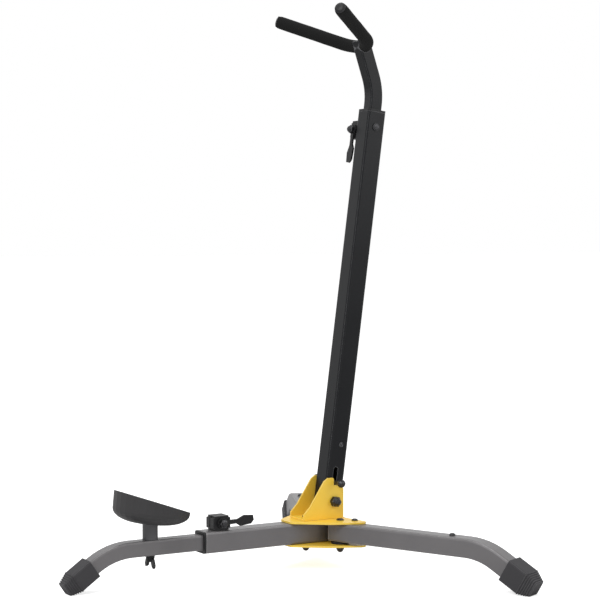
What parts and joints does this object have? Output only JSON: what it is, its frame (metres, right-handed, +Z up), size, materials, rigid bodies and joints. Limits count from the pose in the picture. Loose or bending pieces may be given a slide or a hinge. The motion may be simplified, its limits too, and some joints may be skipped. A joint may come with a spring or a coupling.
{
  "type": "instrument stand",
  "caption": "Tall folding tripod stand with square tubes, sliding mast, padded yoke and a swivelling rubber cup on the front leg.",
  "frame": {"origin": "middle of the whole stand's footprint, on the floor", "axes": "front (the cup) along -Y, up along +Z, X across"},
  "size_m": [0.6214, 0.5196, 0.7508],
  "materials": {
    "yellow_steel": "satin yellow powder coat",
    "leg_tube": "satin charcoal",
    "mast_tube": "satin black",
    "foam": "dull foam",
    "rubber": "matt rubber",
    "black_plastic": "moulded plastic",
    "fastener": "black oxide"
  },
  "bodies": {
    "base": {"top_plate": "yellow_steel", "lower_plate": "yellow_steel", "pivot_bracket": "yellow_steel", "front_outer_tube": "leg_tube", "front_tube_collar": "black_plastic", "base_bolt_front": "fastener", "base_nut_front": "fastener", "base_bolt_rear": "fastener", "base_nut_rear": "fastener", "leg_spacer_right": "black_plastic", "leg_spacer_left": "black_plastic", "leg_pivot_bolt_right": "fastener", "leg_pivot_nut_right": "fastener", "leg_pivot_bolt_left": "fastener", "leg_pivot_nut_left": "fastener", "stop_screw_right": "fastener", "stop_screw_left": "fastener", "leg_clamp_block": "black_plastic", "leg_clamp_bolt": "fastener", "leg_clamp_nut": "fastener"},
    "rear_leg_right": {"rear_leg_right": "leg_tube", "rear_foot_right": "rubber", "leg_screw_right": "fastener"},
    "rear_leg_left": {"rear_leg_left": "leg_tube", "rear_foot_left": "rubber", "leg_screw_left": "fastener"},
    "front_leg": {"front_inner_tube": "leg_tube", "front_foot": "rubber"},
    "cup_body": {"cup": "rubber", "cup_post": "rubber", "cup_bolt": "fastener"},
    "wing_nut": {"cup_wing_nut": "black_plastic"},
    "leg_lever": {"leg_clamp_lever": "black_plastic"},
    "upright": {"upright_tube": "mast_tube", "upright_collar": "black_plastic", "pivot_bolt": "fastener", "pivot_nut": "fastener", "pivot_washer_right": "fastener", "pivot_washer_left": "fastener", "height_clamp_block": "black_plastic", "height_clamp_bolt": "fastener", "height_clamp_nut": "fastener", "guide_screw": "fastener"},
    "height_lever": {"height_clamp_lever": "black_plastic"},
    "lock": {"lock_pin": "fastener"},
    "mast": {"mast_tube": "mast_tube", "mast_bush": "black_plastic", "yoke_rod": "mast_tube", "foam_sleeve": "foam", "yoke_cap_left": "black_plastic", "yoke_cap_right": "black_plastic"}
  },
  "joints": [
    {"name": "rear_leg_right_fold", "type": "hinge", "parent": "base", "child": "rear_leg_right", "pos_m": [0.033, 0.12897, 0.05], "axis": [0, 0, 1], "range_deg": [0, 66]},
    {"name": "rear_leg_left_fold", "type": "hinge", "parent": "base", "child": "rear_leg_left", "pos_m": [-0.033, 0.12897, 0.05], "axis": [0, 0, -1], "range_deg": [0, 66]},
    {"name": "front_leg_slide", "type": "slide", "parent": "base", "child": "front_leg", "axis": [0, -1, 0], "range_m": [-0.038, 0.04]},
    {"name": "cup_swivel", "type": "hinge", "parent": "front_leg", "child": "cup_body", "pos_m": [0, -0.13703, 0.08], "axis": [0, 0, 1], "continuous": true},
    {"name": "wing_nut_turn", "type": "hinge", "parent": "front_leg", "child": "wing_nut", "pos_m": [0, -0.13703, 0.035], "axis": [0, 0, 1], "continuous": true},
    {"name": "leg_lever_turn", "type": "hinge", "parent": "base", "child": "leg_lever", "pos_m": [0, -0.03853, 0.0731], "axis": [1, 0, 0], "range_deg": [0, 110]},
    {"name": "upright_fold", "type": "hinge", "parent": "base", "child": "upright", "pos_m": [0, 0.12897, 0.0895], "axis": [-1, 0, 0], "range_deg": [0, 80]},
    {"name": "height_lever_turn", "type": "hinge", "parent": "upright", "child": "height_lever", "pos_m": [-0.0238, 0.19697, 0.59242], "axis": [0, 0.991, -0.134], "range_deg": [0, 90]},
    {"name": "lock_pin_lift", "type": "slide", "parent": "upright", "child": "lock", "axis": [0, 0.134, 0.991], "range_m": [0, 0.016], "stiffness_N_per_m": 200, "springref_m": -0.01},
    {"name": "mast_height", "type": "slide", "parent": "upright", "child": "mast", "axis": [0, 0.134, 0.991], "range_m": [0, 0.22]}
  ]
}
